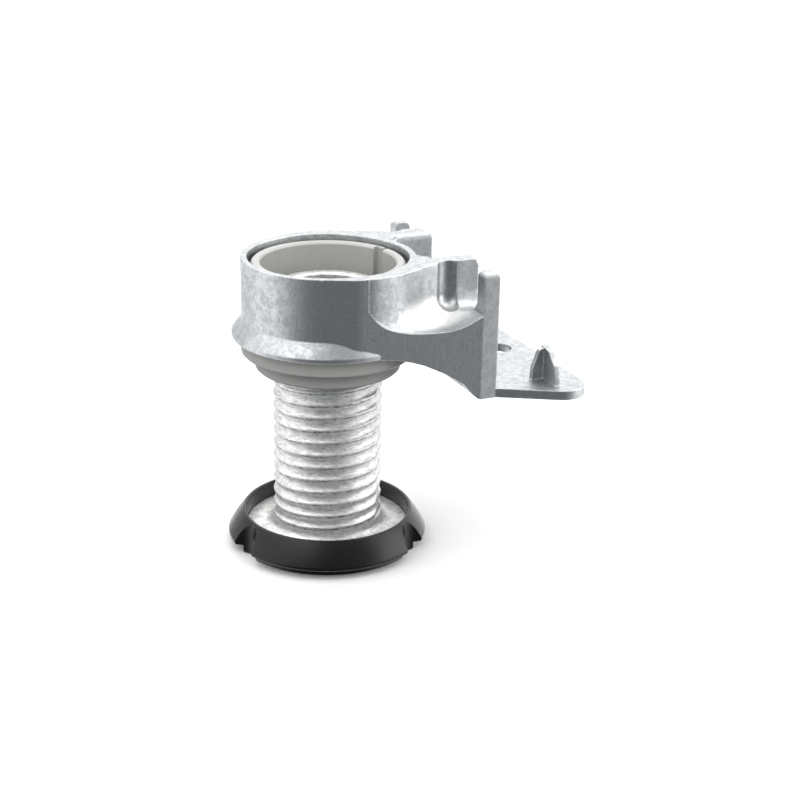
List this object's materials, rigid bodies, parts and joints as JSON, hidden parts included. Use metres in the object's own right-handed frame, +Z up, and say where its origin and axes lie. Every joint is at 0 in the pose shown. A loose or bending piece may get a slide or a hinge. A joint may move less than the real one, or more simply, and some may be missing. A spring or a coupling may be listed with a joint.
{
  "type": "adjustable cabinet leg",
  "caption": "Threaded cabinet leg with a round foot cap, carried by a split sleeve nut in a die-cast bracket whose flange and clawed plate screw under a cabinet panel.",
  "frame": {"origin": "on the leg axis at the underside of the foot cap", "axes": "+Z up along the leg, +X towards the flange that lies against the panel, +Y to the left seen from behind the flange"},
  "size_m": [0.0742, 0.0648, 0.0689],
  "materials": {
    "cast_zinc": "tumbled die casting, cloudy satin grey",
    "bright_zinc": "bright die casting",
    "grey_plastic": "moulded, smooth matt",
    "dark_plastic": "moulded, satin"
  },
  "bodies": {
    "foot": {"foot_cap": "dark_plastic"},
    "leg": {"leg_tube": "bright_zinc"},
    "bracket": {"bracket": "cast_zinc", "nut_sleeve": "grey_plastic"}
  },
  "joints": [
    {"name": "leg_turn", "type": "hinge", "parent": "foot", "child": "leg", "pos_m": [0, 0, 0.002], "axis": [0, 0, 1], "range_deg": [-1080, 1800]},
    {"name": "bracket_height", "type": "slide", "parent": "foot", "child": "bracket", "axis": [0, 0, 1], "range_m": [-0.0151, 0.0091]}
  ],
  "couplings": [
    {"joint": "bracket_height", "follows": "leg_turn", "m_per_rad": -0.00047746}
  ]
}
